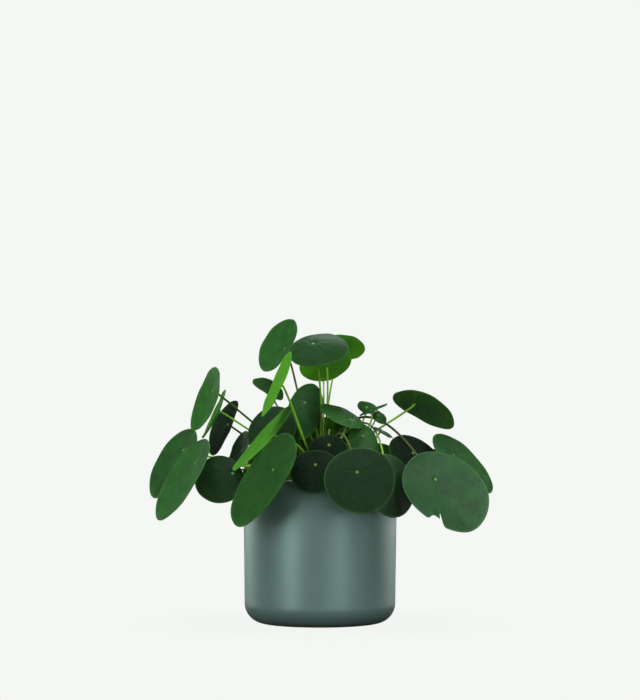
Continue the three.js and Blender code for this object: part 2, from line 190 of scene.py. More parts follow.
STEM_RADIUS = 6.5
STEM_TOP = 155
STEM_FOOT = 90
STEM_ROWS, STEM_TIP_ROWS, STEM_LINES = 90, 12, 72
SCAR_PITCH = 6
SCAR_DEPTH = 0.35
BARK_DEPTH = 0.3
BARK_PITCH = 3.2
BARK_STRETCH = 0.3  # heights count this much, so that cracks run up the stem
BARK_SEED = 31
BUD_START = STEM_TOP - 7  # the growing tip turns green over BUD_FADE above this
BUD_FADE = 5
GAP = 0.3

# ---- the blades and stalks, in millimetres ----
BLADE_THICKNESS = 0.9
BLADE_RIM_THICKNESS = 0.62
BLADE_EGG = 0.06  # how much broader a blade is towards its base
BLADE_LINES = 120  # grid lines from heart to rim
TORN_LINES = 360  # and in a torn blade
BLADE_RINGS = 22
RING_CROWDING = 1.25  # the rings crowd towards the rim
RIM_ARC = 5  # rings over the rounded rim
VEIN_LINES = (0, 13, 27, 41, 54, 66, 79, 93, 107)  # of the grid lines, round from the tip
VEIN_SWING = 0.14  # how far the grid lines swing towards the tip, in radians
CREASE_WIDTH = 1.6
CREASE_START = 6  # a crease comes in over this distance from the heart
CREASE_FADE = 0.7  # share of a crease that is gone at the rim
TORN_CREASE = 0.35  # share of its creases that a torn blade keeps
DIMPLE_DEPTH = 0.9
DIMPLE_RADIUS = 3
RIM_WAVES = 3  # long waves round the rim
RIPPLES = ((5, 1, 1), (8, 0.6, 2.3))  # small ones: how many, their share, and how their phase differs
FIRST_RIPPLE = 5  # the phase of the first leaf's ripples
MAP_UNIT = 10  # millimetres of leaf to one unit of its UV map

STALK_STEPS, STALK_SIDES = 56, 12
STALK_REACH = 8  # length over which a stalk turns square to its blade
STALK_SLIMMEST = 0.7
STALK_PER_BLADE = 1 / 180  # radius of a stalk per millimetre of its blade
STALK_SUNK = 1  # how far inside the stem a stalk starts
STALK_LET_IN = 0.5  # how far under the blade's middle it ends
STALK_TAPER = 0.08
ROOT_SWELL, ROOT_SWELL_LENGTH = 0.55, 3
TOP_SWELL, TOP_SWELL_LENGTH = 0.5, 1.8
STALK_WAVER, STALK_WAVER_LENGTH = 0.03, 5
FAR_FROM_VEIN = 9  # what a stalk counts as its distance from a vein

# ---- the studio, in metres ----
COOL_WHITE = (0.88, 0.98, 1.0)
# name, the setting with its power, place, target, size
LAMPS = (
    ("key_light", "key", (-0.4, -0.4, 1.5), (0, 0, 0.19), (0.5, 0.5)),
    ("left_strip", "left", (-1.1, -1.2, 0.4), (0, 0, 0.15), (0.34, 1.2)),
    ("right_strip", "right", (0.78, -1.35, 0.4), (0, 0, 0.15), (0.28, 1.2)),
    ("sheen_light", "sheen", (0.9, -0.68, 1.25), (0, 0, 0.19), (0.4, 0.4)),
    ("back_light", "back", (0.1, 0.85, 1.15), (0, 0, 0.22), (0.5, 0.5)),
)
FLOOR_RADII = (0.05, 0.1, 0.2, 0.4, 0.8, 1.6, 4, 12)
FLOOR_LINES = 64
FLOOR_COLOUR = (0.1, 0.105, 0.105, 1)
FLOOR_SHADE = (0.08, 0.2, 0.97, 1)  # two radii, and how much of the backdrop is seen at each
WHITE = (1, 1, 1, 1)
PALE_GRAIN = (0.5, 0.47, 0.4, 1)
PALE_SPECK = (0.42, 0.38, 0.31, 1)


# ---- meshes ----

def skin_faces(rows, lines):
    """Faces of a closed skin, all wound one way: a pole joined to the first row of lines vertices, each row
    to the next, and the last row to the other pole."""
    i = np.arange(lines)
    j = (i + 1) % lines
    row = 1 + np.arange(rows)[:, None] * lines
    cap = np.stack([0 * i, 1 + i, 1 + j], 1)
    quads = np.stack([row[:-1] + i, row[1:] + i, row[1:] + j, row[:-1] + j], -1).reshape(-1, 4)
    foot = np.stack([row[-1] + i, 0 * i + 1 + rows * lines, row[-1] + j], 1)
    return cap, quads, foot


def closed_skin(start, rows, end):
    """A closed skin: its vertices, as start pole, grid of rows by lines and end pole, and its faces."""
    return np.concatenate([start[None], rows.reshape(-1, 3), end[None]]), skin_faces(*rows.shape[:2])


def outward(points, blocks):
    """The faces of a closed skin, turned round if they face in: the sum of a.(b x c)/6 is the volume."""
    tris = [block[:, [0, k, k + 1]] for block in blocks for k in range(1, block.shape[1] - 1)]
    tris = np.concatenate(tris)
    a, b, c = points[tris[:, 0]], points[tris[:, 1]], points[tris[:, 2]]
    volume = (a * np.cross(b, c)).sum()
    return blocks if volume > 0 else [block[:, ::-1] for block in blocks]


def new_object(name, data):
    made = bpy.data.objects.new(name, data)
    bpy.context.scene.collection.objects.link(made)
    return made


def piece(name, shells, material, node):
    """One object from closed skins, each one (points in mm, faces, {attribute: values}, uv or 0)."""
    points, faces, marks, maps, offset = [], [], {}, [], 0
    keys = sorted({key for shell in shells for key in shell[2]})
    for shell_points, shell_faces, shell_marks, shell_map in shells:
        count = len(shell_points)
        points.append(shell_points * MM)
        for block in outward(shell_points, shell_faces):
            faces += (block + offset).tolist()
        maps.append(np.broadcast_to(shell_map, (count, 2)))
        for key in keys:
            value = np.asarray(shell_marks.get(key, 0), float)
            marks.setdefault(key, []).append(np.broadcast_to(value, count))
        offset += count
    mesh = bpy.data.meshes.new(name)
    mesh.from_pydata(np.concatenate(points).tolist(), [], faces)
    for key in keys:
        layer = mesh.attributes.new(key, "FLOAT", "POINT")
        layer.data.foreach_set("value", np.concatenate(marks[key]).astype(np.float32))
    corner = np.empty(len(mesh.loops), np.int32)
    mesh.loops.foreach_get("vertex_index", corner)
    surface = mesh.uv_layers.new(name="Surface")
    surface.data.foreach_set("uv", np.concatenate(maps)[corner].astype(np.float32).ravel())
    mesh.polygons.foreach_set("use_smooth", np.ones(len(mesh.polygons), bool))
    mesh.update()
    mesh.validate()
    mesh.materials.append(material)
    made = new_object(name, mesh)
    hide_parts(node)
    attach(made, BODY)


def unit(vector):
    """A vector, or each of an array of vectors, at length 1."""
    vector = np.asarray(vector, float)
    return vector / np.linalg.norm(vector, axis=-1, keepdims=True)


def waves(points, pitch, seed, count=28, lengths=(0.7, 1.5)):
    """A smooth random height over points: a sum of sines along random directions, about pitch mm long, over
    the square root of their count."""
    draw = np.random.default_rng(seed)
    way = unit(draw.normal(size=(count, points.shape[-1])))
    length = pitch * draw.uniform(*lengths, count)
    phase = draw.uniform(0, 2 * np.pi, count)
    return np.sin(points @ (way / length[:, None]).T * 2 * np.pi + phase).sum(-1) / math.sqrt(count)


def soft_share(points, pitch, seed):
    """The same height as a share: half of 1 + the height, where that is kept between -1 and 1."""
    return 0.5 + 0.5 * np.clip(waves(points, pitch, seed), -1, 1)


def drawn_in(rows, depth, radius):
    """Rows moved towards the axis: x and y times 1 - depth/radius."""
    shrink = 1 - depth / radius
    return rows * np.stack([shrink, shrink, np.ones_like(shrink)], -1)


def turned(profile, lines, shape):
    """A closed turned skin: profile rows (radius, z) carried round +Z, and moved by shape(rows)."""
    angle = np.linspace(0, 2 * np.pi, lines, endpoint=False)
    radius, height = profile.T
    rows = shape(np.stack([
        radius[1:-1, None] * np.cos(angle),
        radius[1:-1, None] * np.sin(angle),
        np.broadcast_to(height[1:-1, None], (len(radius) - 2, lines)),
    ], -1))
    start, end = np.array([0, 0, height[0]]), np.array([0, 0, height[-1]])
    return closed_skin(start, rows, end)


def arc(centre, radius, start, stop, steps):
    """Points of an arc in a profile: centre + radius (cos a, sin a), a from start to stop degrees."""
    angle = np.radians(np.linspace(start, stop, steps + 1))
    return np.stack([centre[0] + radius * np.cos(angle), centre[1] + radius * np.sin(angle)], 1)


def lie(faces, tip):
    """The way a leaf lies: normal out of its upper face, along it to the tip, and side across it."""
    normal = unit(faces)
    along = np.asarray(tip, float)
    along = unit(along - normal * (along @ normal))
    return normal, along, np.cross(normal, along)


def rim(angle, blade, tears):
    """The rim: x = c + L/2 cos a, y = W/2 sin a (1 - egg cos a), drawn in where it is torn by the share
    depth e^(-(a / spread)^4) round the angle of the tear."""
    length, width, share = blade
    x = length * (0.5 - share) + length / 2 * np.cos(angle)
    y = width / 2 * np.sin(angle) * (1 - BLADE_EGG * np.cos(angle))
    keep = np.ones_like(angle)
    for at, spread, depth in tears:
        away = (np.degrees(angle) - at + 180) % 360 - 180
        keep *= 1 - depth * np.exp(-((away / spread) ** 4))
    return x * keep, y * keep


def blade_skin(row, phase, sway, vein_depth):
    """A blade as a closed skin: rings run from heart to rim over the upper face, round it and back under.

    At share u of the way to the rim, a point is u times the rim point, and its grid line swings towards the
    tip as the veins do. Its height over the blade's plane is wave u^2 sin(3a + L) - droop (2x/L)^2
    - roll (2y/W)^2, with small ripples that grow with u^3, a dimple e^(-(r/R)^2) at the heart, and a crease
    e^(-(gap/width)^2) along each vein. The two faces stand half the thickness to each side, and a half circle
    joins them.
    """
    _number, heart, faces, tip, blade, form, _root, _bend, _finish, *tears = row
    lines = TORN_LINES if tears else BLADE_LINES
    normal, along, side = lie(faces, tip)
    length, width, _share = blade
    droop, roll, wave = form
    share = np.linspace(0, 1, BLADE_RINGS + 1)[1:]
    over = 1 - (1 - share) ** RING_CROWDING
    turn = np.radians(np.linspace(90, -90, RIM_ARC + 2)[1:-1])
    u = np.concatenate([over, np.ones(RIM_ARC), over[::-1]])[:, None]
    out = np.concatenate([np.zeros(BLADE_RINGS), np.cos(turn), np.zeros(BLADE_RINGS)])[:, None]
    lift = np.concatenate([np.ones(BLADE_RINGS), np.sin(turn), -np.ones(BLADE_RINGS)])[:, None]
    line = np.arange(lines) * 2 * np.pi / lines
    angle = line - VEIN_SWING * (u - 1) * np.sin(line)
    rim_x, rim_y = rim(angle, blade, [(at, spread, depth * u ** 2) for at, spread, depth in tears])
    reach = np.hypot(rim_x, rim_y)
    thick = BLADE_THICKNESS + (BLADE_RIM_THICKNESS - BLADE_THICKNESS) * u ** 2
    shrink = (reach - thick / 2) / reach
    grow = 1 + out * thick / 2 / reach
    x, y = u * rim_x * shrink * grow, u * rim_y * shrink * grow
    away = np.hypot(x, y)
    veins = np.asarray(VEIN_LINES) * 2 * np.pi / BLADE_LINES
    gaps = np.abs((line[:, None] - veins + np.pi) % (2 * np.pi) - np.pi)
    gap = gaps.min(1) * away
    height = wave * u ** 2 * np.sin(RIM_WAVES * angle + length)
    height = height - droop * (2 * x / length) ** 2 - roll * (2 * y / width) ** 2
    height += sway * u ** 3 * sum(
        part * np.sin(count * line + pace * phase) for count, part, pace in RIPPLES)
    height -= DIMPLE_DEPTH * np.exp(-((away / DIMPLE_RADIUS) ** 2))
    crease = vein_depth * np.exp(-((gap / CREASE_WIDTH) ** 2)) * np.clip(away / CREASE_START, 0, 1)
    height -= crease * (1 - CREASE_FADE * u) * (TORN_CREASE if tears else 1)
    z = height + lift * thick / 2
    rows = heart + x[..., None] * along + y[..., None] * side + z[..., None] * normal
    dimple, half = heart - DIMPLE_DEPTH * normal, normal * BLADE_THICKNESS / 2
    points, skin = closed_skin(dimple + half, rows, dimple - half)

    def spread(grid, start, end):
        """A value for each vertex: the start pole's, the grid's, the end pole's."""
        return np.concatenate([[start], np.broadcast_to(grid, x.shape).ravel(), [end]])

    marks = {
        "reach": spread(u, 0, 0),
        "gap": spread(gap, 0, 0),
        "away": spread(away, 0, 0),
        "under": spread(np.clip(0.5 - lift, 0, 1), 0, 1),
        "stalk": 0,
    }
    surface = np.stack([spread(x, 0, 0), spread(y, 0, 0)], 1) / MAP_UNIT
    return points, skin, marks, surface


def stalk_skin(row):
    """A stalk as a closed tube along the cubic (1-t)^3 A + 3(1-t)^2 t B + 3(1-t) t^2 C + t^3 D.

    Its radius swells as e^(-s/length) near the stem and near the blade, tapers evenly in between, and wavers
    by a few per cent as a sine of the run s.
    """
    _number, heart, faces, tip, blade, _form, (azimuth, height), bend, *_rest = row
    normal, _along, _side = lie(faces, tip)
    turn = math.radians(azimuth)
    foot = STEM_RADIUS - STALK_SUNK
    a = np.array([foot * math.sin(turn), -foot * math.cos(turn), height])
    b, c, d = np.asarray(bend, float), heart - normal * STALK_REACH, heart - normal * STALK_LET_IN
    t = np.linspace(0, 1, STALK_STEPS)[:, None]
    path = (1 - t) ** 3 * a + 3 * (1 - t) ** 2 * t * b + 3 * (1 - t) * t ** 2 * c + t ** 3 * d
    ahead = unit(3 * (1 - t) ** 2 * (b - a) + 6 * (1 - t) * t * (c - b) + 3 * t ** 2 * (d - c))
    across = unit(np.cross(d - a, b - a))
    first = unit(np.cross(ahead, across))
    second = np.cross(ahead, first)
    run = np.concatenate([[0], np.cumsum(np.linalg.norm(np.diff(path, axis=0), axis=1))])[:, None]
    whole = run[-1]
    radius = STALK_SLIMMEST + blade[0] * STALK_PER_BLADE
    swell = 1 + ROOT_SWELL * np.exp(-run / ROOT_SWELL_LENGTH)
    swell += TOP_SWELL * np.exp(-(whole - run) / TOP_SWELL_LENGTH)
    waver = 1 + STALK_WAVER * np.sin(run / STALK_WAVER_LENGTH + azimuth)
    radius = radius * swell * waver * (1 - STALK_TAPER * run / whole)
    round_it = np.linspace(0, 2 * np.pi, STALK_SIDES, endpoint=False)[None, :, None]
    ring = np.cos(round_it) * first[:, None] + np.sin(round_it) * second[:, None]
    grid = path[:, None] + radius[..., None] * ring
    points, skin = closed_skin(path[0], grid, path[-1])

    def spread(column):
        """A value for each vertex from one for each step: the start pole's, the rings', the end pole's."""
        return np.concatenate([[column[0]], np.repeat(column, STALK_SIDES), [column[-1]]])

    marks = {
        "stalk": 1,
        "reach": spread((run / whole)[:, 0]),
        "gap": FAR_FROM_VEIN,
        "away": spread((whole - run)[:, 0]),
        "under": 0,
    }
    surface = np.stack([spread(run[:, 0]) / MAP_UNIT, np.zeros(len(points))], 1)
    return points, skin, marks, surface


# ---- materials ----

NODES_IN_ROW, NODE_WIDTH, NODE_HEIGHT = 12, 200, 220
GROUPS = {}  # the shared effects, which main makes


class Graph:
    """Adds nodes to a tree and joins them, so that a material reads as a list of steps."""

    def __init__(self, tree):
        self.tree = tree
        tree.nodes.clear()

    def add(self, kind, settings=None, **inputs):
        """A new node with its settings, and with its sockets filled by name."""
        node = self.tree.nodes.new(kind)
        row, place = divmod(len(self.tree.nodes), NODES_IN_ROW)
        node.location = (NODE_WIDTH * place, -NODE_HEIGHT * row)
        for key, value in (settings or {}).items():
            setattr(node, key, value)
        for key, value in inputs.items():
            self.put(node.inputs[key.replace("_", " ")], value)
        return node

    def put(self, socket, value):
        """Links a socket, or sets its own value."""
        if isinstance(value, bpy.types.NodeSocket):
            self.tree.links.new(value, socket)
        else:
            socket.default_value = value

    def fill(self, node, *values):
        """Fills a node's first sockets in order."""
        for socket, value in zip(node.inputs, values):
            self.put(socket, value)
        return node.outputs[0]

    def maths(self, operation, first, second=0, clamp=False):
        node = self.add("ShaderNodeMath", {"operation": operation, "use_clamp": clamp})
        return self.fill(node, first, second)

    def times(self, first, second):
        return self.maths("MULTIPLY", first, second)

    def plus(self, first, second, clamp=False):
        return self.maths("ADD", first, second, clamp)

    def between(self, value, low, high, to_low=0, to_high=1):
        """Runs smoothly from to_low where the value is low to to_high where it is high."""
        node = self.add("ShaderNodeMapRange", {"interpolation_type": "SMOOTHSTEP"})
        return self.fill(node, value, low, high, to_low, to_high)

    def mix(self, share, first, second):
        """The first colour, and the second where the share is 1. A colour's sockets are 6 and 7."""
        node = self.add("ShaderNodeMix", {"data_type": "RGBA"})
        for index, item in ((0, share), (6, first), (7, second)):
            self.put(node.inputs[index], item)
        return node.outputs[2]

    def mark(self, name):
        """One of the piece's own attributes."""
        return self.add("ShaderNodeAttribute", {"attribute_name": name}).outputs["Fac"]

    def group(self, name, **inputs):
        """The outputs of one of the shared effects."""
        return self.add("ShaderNodeGroup", {"node_tree": GROUPS[name]}, **inputs).outputs

    def mottle(self, place, scale, contrast):
        return self.group("mottle", Place=place, Scale=scale, Contrast=contrast)[0]

    def specks(self, place, scale, share, size):
        return self.group("specks", Place=place, Scale=scale, Share=share, Size=size)[0]

    def object_place(self):
        return self.add("ShaderNodeTexCoord").outputs["Object"]


def effect(name, outputs, **numbers):
    """An empty shader node group that takes a Place and numbers with these defaults, and puts out numbers.
    Gives its graph, what comes in and what goes out."""
    tree = bpy.data.node_groups.new(name, "ShaderNodeTree")
    graph = Graph(tree)
    tree.interface.new_socket("Place", in_out="INPUT", socket_type="NodeSocketVector")
    for key, default in numbers.items():
        socket = tree.interface.new_socket(key, in_out="INPUT", socket_type="NodeSocketFloat")
        socket.default_value = default
    for key in outputs:
        tree.interface.new_socket(key, in_out="OUTPUT", socket_type="NodeSocketFloat")
    return graph, tree.nodes.new("NodeGroupInput").outputs, tree.nodes.new("NodeGroupOutput").inputs


def mottle_effect():
    """Soft patches: noise as a value from 0 to 1, with a contrast about its middle."""
    graph, given, out = effect("soft_mottle", ["Value"], Scale=60, Contrast=1)
    noise = graph.add("ShaderNodeTexNoise", Vector=given["Place"], Scale=given["Scale"], Detail=4,
                      Roughness=0.55)
    centred = graph.plus(noise.outputs["Fac"], -0.5)
    scaled = graph.times(centred, given["Contrast"])
    graph.put(out["Value"], graph.plus(scaled, 0.5, clamp=True))
    return graph.tree


def speck_effect():
    """Small round specks: the share of cells whose random value is under Share, faded by distance."""
    graph, given, out = effect("round_specks", ["Mask"], Scale=400, Share=0.2, Size=0.3)
    cells = graph.add("ShaderNodeTexVoronoi", Vector=given["Place"], Scale=given["Scale"])
    split = graph.add("ShaderNodeSeparateColor", Color=cells.outputs["Color"])
    chosen = graph.maths("LESS_THAN", split.outputs[0], given["Share"])
    near = graph.between(cells.outputs["Distance"], given["Size"], 0)
    graph.put(out["Mask"], graph.times(chosen, near))
    return graph.tree


def net_effect():
    """A leaf's veins: main ones where Gap, in mm, is small, and a fine net of cell edges between them."""
    graph, given, out = effect("leaf_veins", ["Main", "Net"], Gap=FAR_FROM_VEIN, Reach=0, Width=0.5)
    taper = graph.between(given["Reach"], 0.25, 1, 1, 0.35)
    width = graph.times(given["Width"], taper)
    line = graph.between(given["Gap"], width, 0)
    ends = graph.between(given["Reach"], 0.98, 0.8)
    graph.put(out["Main"], graph.times(line, ends))
    bend = graph.add("ShaderNodeTexNoise", Vector=given["Place"], Scale=2, Detail=2)
    moved = graph.fill(graph.add("ShaderNodeVectorMath", {"operation": "MULTIPLY_ADD"}),
                       bend.outputs["Color"], (0.5, 0.5, 0), given["Place"])
    cells = graph.add("ShaderNodeTexVoronoi", {"feature": "DISTANCE_TO_EDGE"}, Vector=moved, Scale=2.6)
    graph.put(out["Net"], graph.between(cells.outputs["Distance"], 0.09, 0))
    return graph.tree


def new_material(name, **plain):
    """The graph of a new material. Its Principled shader has the values that are the same all over."""
    material = bpy.data.materials.new(name)
    material.use_nodes = True
    graph = Graph(material.node_tree)
    graph.material = material
    graph.shader = graph.add("ShaderNodeBsdfPrincipled", **plain)
    graph.out = graph.add("ShaderNodeOutputMaterial", Surface=graph.shader.outputs[0])
    return graph


def finished(graph, colour, rough, height, strength, distance):
    """The material, once its shader has a colour, a roughness, and a height as its Normal."""
    bump = graph.add("ShaderNodeBump", Strength=strength, Distance=distance, Height=height)
    for name, value in (("Base Color", colour), ("Roughness", rough), ("Normal", bump.outputs[0])):
        graph.put(graph.shader.inputs[name], value)
    return graph.material


def blend(first, second, share):
    """A colour that lies this share of the way from the first to the second."""
    return tuple(p + (q - p) * share for p, q in zip(first, second))


def leaf_material(look, name, finish):
    """Leaf green: darker by painted shade where a leaf lies in shadow and lighter by painted light, lime when
    fresh, pale at the heart and the veins, with painted light on the rim, duller and lighter on the under
    face, and a stalk that is green or brown with age."""
    age, brown, depth, gloss = finish
    graph = new_material(name, Specular_IOR_Level=gloss, Subsurface_Weight=0.3 + 0.4 * age,
                         Subsurface_Radius=(0.8, 1, 0.35), Subsurface_Scale=0.004)
    place = graph.add("ShaderNodeUVMap", {"uv_map": "Surface"}).outputs[0]
    reach, gap, away = graph.mark("reach"), graph.mark("gap"), graph.mark("away")
    under, stalk = graph.mark("under"), graph.mark("stalk")
    veins = graph.group("veins", Place=place, Gap=gap, Reach=reach, Width=0.55)
    main, net = veins["Main"], veins["Net"]
    patches = graph.mottle(graph.object_place(), 90, 1.6)
    fine = graph.mottle(place, 9, 1.4)

    # the upper face in patches, and the under face
    # depth mixes painted shade into the upper face, its dark patches and the under face, and painted light
    # below 0
    top = blend(blend(look.grown, look.dark_patch_and_painted_shade, depth), look.fresh, age)
    deep = blend(blend(look.dark_patch_and_painted_shade, (0, 0, 0, 1), 0.25 * depth), look.fresh, age * 0.85)
    # on leaves 4 and 5, seen from below, the fresh lime that age mixes in here is partly painted light
    # shining through
    below = blend(blend(look.under, look.dark_patch_and_painted_shade, 0.75 * depth), look.fresh, 0.7 * age)
    pale = blend(look.pale, top, 0.35)
    colour = graph.mix(patches, deep, top)
    colour = graph.mix(graph.times(fine, 0.2), colour, blend(top, look.pale, 0.5))
    colour = graph.mix(graph.times(under, 0.85), colour, below)
    # the veins, which show more on the under face, the heart and the rim
    colour = graph.mix(graph.times(main, graph.between(under, 0, 1, 0.08, 0.5)), colour, pale)
    colour = graph.mix(graph.times(net, graph.between(under, 0, 1, 0.06, 0.22)), colour, pale)
    colour = graph.mix(graph.between(away, 1.7, 0.5, 0, 0.8), colour, look.heart)
    # painted light: the rim is lightened towards the pale colour
    colour = graph.mix(graph.between(reach, 0.955, 1, 0, 0.45), colour, pale)
    # the stalk, darker towards its root in the shade of the crown and paler under its blade
    aged = blend(blend(look.stalk, look.fresh, 0.25 * age), look.stalk_brown, brown)
    shade = graph.between(reach, 0.52, 0.22, 0, 0.8)
    stalk_colour = graph.mix(shade, aged, blend(aged, look.stalk_brown, 0.85))
    stalk_colour = graph.mix(graph.between(away, 9, 0, 0, 0.5), stalk_colour, look.heart)
    colour = graph.mix(stalk, colour, stalk_colour)

    rough = graph.plus(graph.between(fine, 0, 1, 0.4, 0.5), graph.times(under, 0.16))
    # veins are sunk in the upper face and stand out on the under face
    ridge = graph.times(graph.plus(main, graph.times(net, 0.35)), graph.between(under, 0, 1, -1, 1))
    height = graph.plus(ridge, graph.times(fine, 0.35))
    return finished(graph, colour, rough, height, 0.25, 0.0004)


def glaze_material(look):
    """Satin grey-teal glaze with soft clouds and fine specks, thin and brown at the rim, bare at the foot."""
    graph = new_material("grey_teal_glaze", Metallic=0.5, IOR=1.6)
    place = graph.object_place()
    up = graph.add("ShaderNodeSeparateXYZ", Vector=place).outputs["Z"]
    clouds = graph.mottle(place, 22, 1.5)
    grain = graph.mottle(place, 420, 1.8)
    specks = graph.specks(place, 700, 0.16, 0.34)
    colour = graph.mix(clouds, look.glaze_deep, look.glaze)
    colour = graph.mix(graph.times(grain, 0.12), colour, look.glaze_pale)
    colour = graph.mix(graph.times(specks, 0.3), colour, look.glaze_deep)
    line = graph.plus(up, graph.times(graph.plus(clouds, -0.5), 0.0012))
    colour = graph.mix(graph.between(line, *GLAZE_THINS, 0, 0.35), colour, look.clay)
    bare = graph.between(line, *GLAZE_ENDS)
    colour = graph.mix(bare, colour, look.clay)
    rough = graph.plus(graph.between(clouds, 0, 1, 0.4, 0.46), graph.times(bare, 0.45))
    height = graph.plus(graph.times(clouds, 0.6), graph.times(grain, 0.12))
    return finished(graph, colour, rough, height, 0.12, 0.0006)


def soil_material(look):
    """Dark potting soil: brown crumbs and fibres, with a few pale grains."""
    graph = new_material("potting_soil")
    place = graph.object_place()
    lumps = graph.mottle(place, 240, 2.2)
    crumbs = graph.specks(place, 900, 0.5, 0.45)
    grains = graph.specks(place, 330, 0.05, 0.3)
    colour = graph.mix(lumps, look.soil_dark, look.soil)
    colour = graph.mix(graph.times(crumbs, 0.4), colour, look.soil_pale)
    colour = graph.mix(graph.times(grains, 0.8), colour, PALE_SPECK)
    colour = graph.mix(graph.mark("grain"), colour, PALE_GRAIN)
    rough = graph.between(lumps, 0, 1, 0.86, 0.98)
    return finished(graph, colour, rough, graph.plus(lumps, crumbs), 0.8, 0.0012)


def bark_material(look):
    """Dull brown bark with paler leaf scars and thin cracks that run up the stem."""
    graph = new_material("stem_bark")
    place = graph.object_place()
    long_place = graph.add("ShaderNodeMapping", Vector=place, Scale=(1, 1, 0.22)).outputs[0]
    cracks = graph.mottle(long_place, 900, 3)
    patches = graph.mottle(place, 260, 1.6)
    colour = graph.mix(patches, look.bark_dark, look.bark)
    colour = graph.mix(graph.between(cracks, 0.35, 0, 0, 0.8), colour, look.soil_dark)
    colour = graph.mix(graph.times(graph.mark("scar"), 0.7), colour, look.scar)
    colour = graph.mix(graph.mark("bud"), colour, look.scar_green)
    rough = graph.between(cracks, 0, 1, 0.9, 0.75)
    return finished(graph, colour, rough, cracks, 0.6, 0.0006)


# ---- settings ----

def paint(name, description, default):
    return FloatVectorProperty(name=name, description=description, default=(*default, 1.0), size=4, min=0,
                               max=1, subtype="COLOR")


def watts(name, description, default):
    return FloatProperty(name=name, description=description, default=default, min=0, max=500,
                         unit="POWER")


def millimetres(name, description, default, most):
    return FloatProperty(name=name, description=description, default=default * MM, min=0, max=most * MM,
                         unit="LENGTH")


def point(name, description, default):
    return FloatVectorProperty(name=name, description=description, default=default, size=3,
                               subtype="TRANSLATION", unit="LENGTH")


class PotLook(PropertyGroup):
    """Colours of the pot, and how finely it is turned."""
    lines: IntProperty(name="Lines", description="Grid lines round the pot", default=192, min=48, max=400)
    glaze: paint("Glaze", "The glaze where it is thick", (0.212, 0.318, 0.285))
    glaze_deep: paint("Deep glaze", "The glaze's darker clouds and specks", (0.176, 0.272, 0.24))
    glaze_pale: paint("Pale glaze", "The glaze's fine pale grain", (0.29, 0.39, 0.37))
    clay: paint("Clay", "The bare clay of the foot", (0.36, 0.17, 0.07))


class SoilLook(PropertyGroup):
    """Colours of the soil and the stem, and how rough the soil lies."""
    lump: millimetres("Lump height", "How far the soil's lumps stand up", 1.1, 4)
    crumbs: IntProperty(name="Crumbs", description="Loose crumbs on the soil", default=420, min=0, max=2000)
    soil: paint("Soil", "The soil's dry crumbs", (0.05, 0.032, 0.02))
    soil_dark: paint("Dark soil", "The soil's damp hollows", (0.012, 0.008, 0.006))
    soil_pale: paint("Pale soil", "Fibres and dry crumbs", (0.1, 0.07, 0.045))
    bark: paint("Bark", "The stem's bark", (0.16, 0.1, 0.055))
    bark_dark: paint("Dark bark", "The bark's darker patches", (0.06, 0.038, 0.022))
    scar: paint("Scar", "The scars of fallen leaves", (0.3, 0.22, 0.13))
    scar_green: paint("Bud", "The stem's growing tip", (0.16, 0.24, 0.05))


class LeafLook(PropertyGroup):
    """Colours of the leaves, and how much their blades ripple."""
    sway: millimetres("Ripple", "How far the rim ripples", 0.25, 2)
    vein_depth: millimetres("Vein depth", "How deep the veins crease the upper face", 0.2, 1)
    grown: paint("Grown", "A grown leaf's upper face", (0.015, 0.095, 0.017))
    # painted shade: the dark green that depth mixes in where a leaf lies in shadow, and the darker patches of
    # every leaf
    dark_patch_and_painted_shade: paint("Shaded", "A leaf that grew in the shade", (0.01, 0.021, 0.012))
    # fresh: a young leaf's lime, and also painted light shining through leaves 4 and 5
    fresh: paint("Fresh", "A young leaf", (0.075, 0.27, 0.014))
    under: paint("Under face", "The under face of a grown leaf", (0.03, 0.11, 0.02))
    # pale: the veins, and also the painted light along the rim
    pale: paint("Pale veins", "The veins and the rim", (0.075, 0.22, 0.05))
    heart: paint("Heart", "The spot where the stalk meets the blade", (0.25, 0.5, 0.08))
    stalk: paint("Stalk", "A green stalk", (0.3, 0.6, 0.05))
    stalk_brown: paint("Brown stalk", "A stalk that is brown with age", (0.05, 0.045, 0.016))


class StudioLook(PropertyGroup):
    """The studio: its floor, its lights and its camera."""
    backdrop: paint("Backdrop", "The plain background", (0.913, 0.93, 0.905))
    key: watts("Key light", "Power of the soft light overhead", 14.0)
    left: watts("Left strip", "Power of the tall light at the front left", 9.8)
    right: watts("Right strip", "Power of the tall light at the front right", 5.5)
    sheen: watts("Sheen light", "Power of the small light above the front right", 5.0)
    back: watts("Back light", "Power of the light above and behind the plant", 9.0)
    eye: point("Camera", "Where the camera stands", (0, -1.54, 0.139))
    aim: point("Aim", "The point at the middle of the view", (0, 0, 0.247))
    lens: FloatProperty(name="Lens", description="Focal length of the camera", default=86.8, min=20,
                        max=300, unit="CAMERA")


# ---- operators ----

